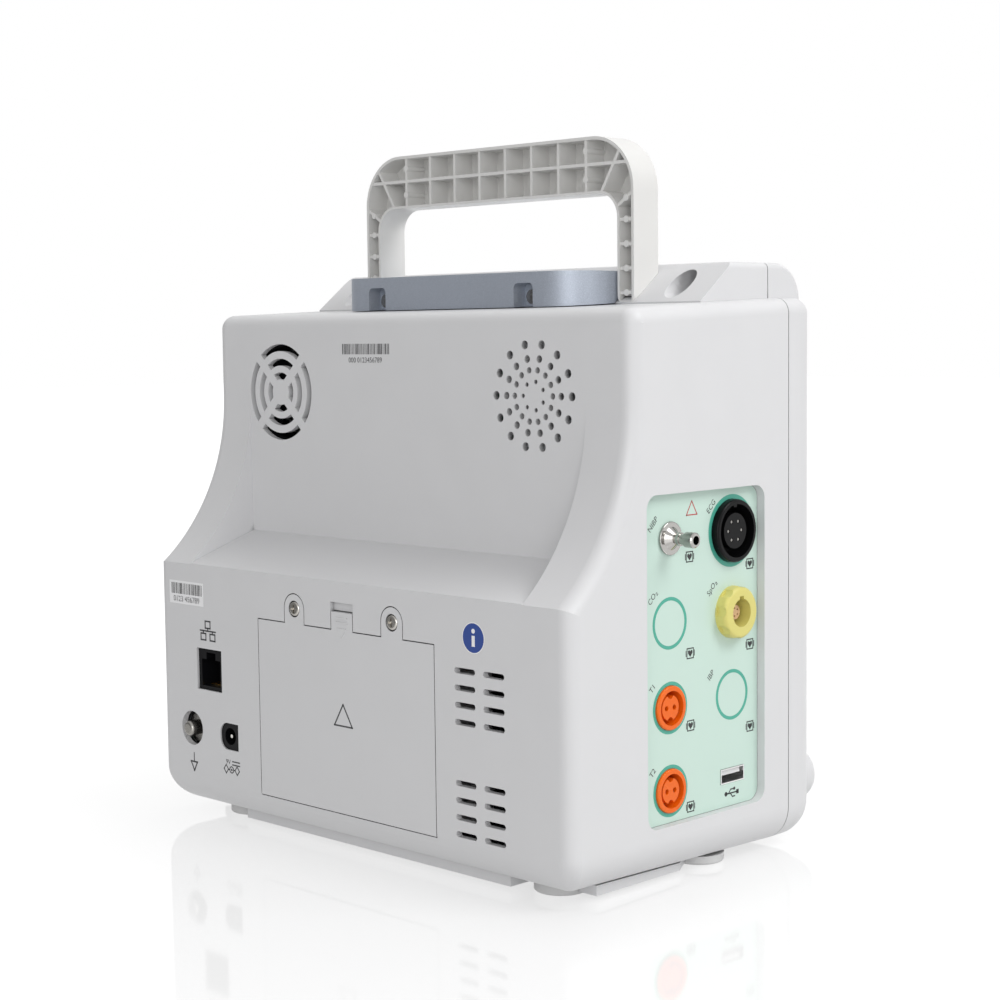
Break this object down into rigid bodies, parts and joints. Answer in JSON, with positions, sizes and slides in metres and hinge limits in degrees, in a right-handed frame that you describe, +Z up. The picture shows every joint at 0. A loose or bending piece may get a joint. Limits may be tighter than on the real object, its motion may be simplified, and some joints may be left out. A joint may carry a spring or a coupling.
{
  "type": "patient monitor",
  "caption": "Portable bedside patient monitor with a stepped rear, carry handle, side sockets for sensors, battery cover, screen, keys and rotary knob.",
  "frame": {"origin": "centre of the mounting plate's underside, the middle of its four screw holes", "axes": "+Z up, -Y out of the screen, +Y out of the rear face, +X to the right of a person facing the screen, so the patient sockets are on the -X side"},
  "size_m": [0.2366, 0.1544, 0.266],
  "materials": {
    "casing_plastic": "fine moulded satin, near-white cool grey",
    "handle_plastic": "fine moulded satin, light grey",
    "trim_lacquer": "blue-grey metallic lacquer",
    "screw_steel": "plated steel",
    "panel_mint": "printed pale green label stock",
    "socket_black": "black moulding",
    "socket_yellow": "pale yellow moulding",
    "socket_orange": "orange moulding",
    "nozzle_chrome": "polished plating",
    "contact_gold": "gold-plated contact",
    "contact_nickel": "nickel-plated contact",
    "port_steel": "tinned steel shell",
    "port_black": "black moulding",
    "hose_rubber": "pale hose",
    "foot_rubber": "pale grey rubber",
    "plate_paint": "light grey powder coat",
    "window_glass": "clear front window",
    "display_dark": "dark display panel",
    "bracket_zinc": "zinc-plated sheet",
    "lamp_lens": "frosted lens",
    "key_grey": "grey keycap",
    "knob_plastic": "smooth near-white knob",
    "board_green": "circuit board",
    "battery_grey": "shrink-wrapped pack",
    "speaker_paper": "black paper cone",
    "pump_metal": "machined body"
  },
  "bodies": {
    "casing": {"alarm_board": "board_green", "alarm_lens": "lamp_lens", "backlight": "lamp_lens", "base_plate": "plate_paint", "battery_contacts": "contact_nickel", "battery_pack": "battery_grey", "board_posts": "contact_gold", "carry_handle": "handle_plastic", "case_screws": "screw_steel", "chassis_plate": "bracket_zinc", "data_board": "board_green", "dc_jack": "port_black", "dc_pin": "contact_nickel", "display_frame": "bracket_zinc", "display_panel": "display_dark", "ecg_pins": "contact_nickel", "ecg_socket": "socket_black", "encoder_body": "port_black", "fan_frame": "port_black", "front_bezel": "casing_plastic", "ground_stud": "nozzle_chrome", "handle_screws": "screw_steel", "key_board": "board_green", "lan_contacts": "contact_gold", "lan_jack": "port_black", "main_board": "board_green", "nibp_hose": "hose_rubber", "nibp_nozzle": "nozzle_chrome", "nibp_pump": "pump_metal", "plate_screws": "screw_steel", "power_board": "board_green", "rear_housing": "casing_plastic", "rubber_feet": "foot_rubber", "screen_window": "window_glass", "side_panel": "panel_mint", "speaker_cone": "speaker_paper", "speaker_frame": "bracket_zinc", "spo2_insert": "socket_yellow", "spo2_socket": "socket_yellow", "temp_1_socket": "socket_orange", "temp_2_socket": "socket_orange", "trim_block": "trim_lacquer", "trim_screws": "screw_steel", "usb_shell": "port_steel", "usb_tongue": "port_black", "valve_block": "port_black"},
    "battery_door": {"battery_cover": "casing_plastic", "cover_screws": "screw_steel"},
    "encoder_turn": {"encoder_rotor": "contact_gold"},
    "knob": {"encoder_shaft": "screw_steel", "control_knob": "knob_plastic"},
    "fan": {"fan_rotor": "port_black"},
    "key_cap_1": {"key_1": "key_grey"},
    "key_cap_2": {"key_2": "key_grey"},
    "key_cap_3": {"key_3": "key_grey"},
    "key_cap_4": {"key_4": "key_grey"},
    "key_cap_5": {"key_5": "key_grey"},
    "key_cap_6": {"key_6": "key_grey"}
  },
  "joints": [
    {"name": "key_1_press", "type": "slide", "parent": "casing", "child": "key_cap_1", "axis": [0, 1, 0], "range_m": [0, 0.0008], "stiffness_N_per_m": 300},
    {"name": "key_2_press", "type": "slide", "parent": "casing", "child": "key_cap_2", "axis": [0, 1, 0], "range_m": [0, 0.0008], "stiffness_N_per_m": 300},
    {"name": "key_3_press", "type": "slide", "parent": "casing", "child": "key_cap_3", "axis": [0, 1, 0], "range_m": [0, 0.0008], "stiffness_N_per_m": 300},
    {"name": "key_4_press", "type": "slide", "parent": "casing", "child": "key_cap_4", "axis": [0, 1, 0], "range_m": [0, 0.0008], "stiffness_N_per_m": 300},
    {"name": "key_5_press", "type": "slide", "parent": "casing", "child": "key_cap_5", "axis": [0, 1, 0], "range_m": [0, 0.0008], "stiffness_N_per_m": 300},
    {"name": "key_6_press", "type": "slide", "parent": "casing", "child": "key_cap_6", "axis": [0, 1, 0], "range_m": [0, 0.0008], "stiffness_N_per_m": 300},
    {"name": "knob_turn", "type": "hinge", "parent": "casing", "child": "encoder_turn", "pos_m": [-0.0935, -0.0625, 0.021], "axis": [0, 1, 0], "continuous": true},
    {"name": "knob_press", "type": "slide", "parent": "encoder_turn", "child": "knob", "axis": [0, 1, 0], "range_m": [0, 0.0005], "stiffness_N_per_m": 600},
    {"name": "battery_cover_lift", "type": "slide", "parent": "casing", "child": "battery_door", "axis": [0, 1, 0], "range_m": [0, 0.06]},
    {"name": "fan_spin", "type": "hinge", "parent": "casing", "child": "fan", "pos_m": [0.0729, 0.029, 0.1701], "axis": [0, 1, 0], "continuous": true}
  ]
}
